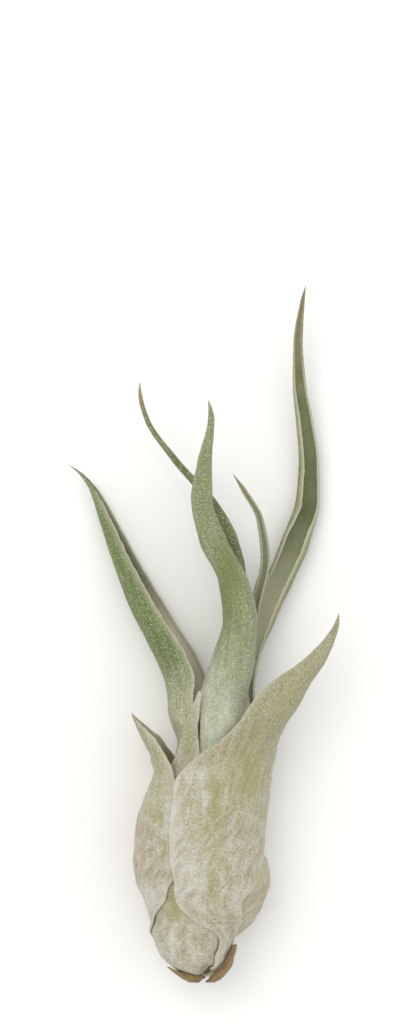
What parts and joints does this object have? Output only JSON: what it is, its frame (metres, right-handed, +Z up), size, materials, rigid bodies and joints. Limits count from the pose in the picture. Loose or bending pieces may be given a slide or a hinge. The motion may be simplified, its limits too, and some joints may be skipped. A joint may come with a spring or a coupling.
{
  "type": "air plant",
  "caption": "Air plant with an onion-shaped bulb of overlapping felted leaf sheaths and channelled leaves that bend outward and end in points.",
  "frame": {"origin": "on the surface the plant lies on, in the middle of its length and width", "axes": "+Y along the plant from the bulb's base to the leaf tips, +Z up from the surface it lies on, +X to the right seen from above"},
  "size_m": [0.0676, 0.1729, 0.0288],
  "materials": {
    "felted_leaf": "pale grey-green leaf under a dense felt of fine scales, matte",
    "green_leaf": "olive green leaf with a thin dusting of pale scales, satin",
    "dry_scale": "dry brown papery leaf base, matte",
    "stem": "brown woody stem, matte"
  },
  "bodies": {
    "root": {"stem": "stem", "dry_scale_right": "dry_scale", "dry_scale_left": "dry_scale", "leaf_right_short": "felted_leaf", "leaf_left_short": "felted_leaf", "leaf_sheath_front": "felted_leaf", "leaf_right_tall": "green_leaf", "leaf_centre": "felted_leaf", "leaf_left_long": "green_leaf", "leaf_thin_left": "green_leaf", "leaf_thin_centre": "green_leaf"}
  },
  "joints": []
}
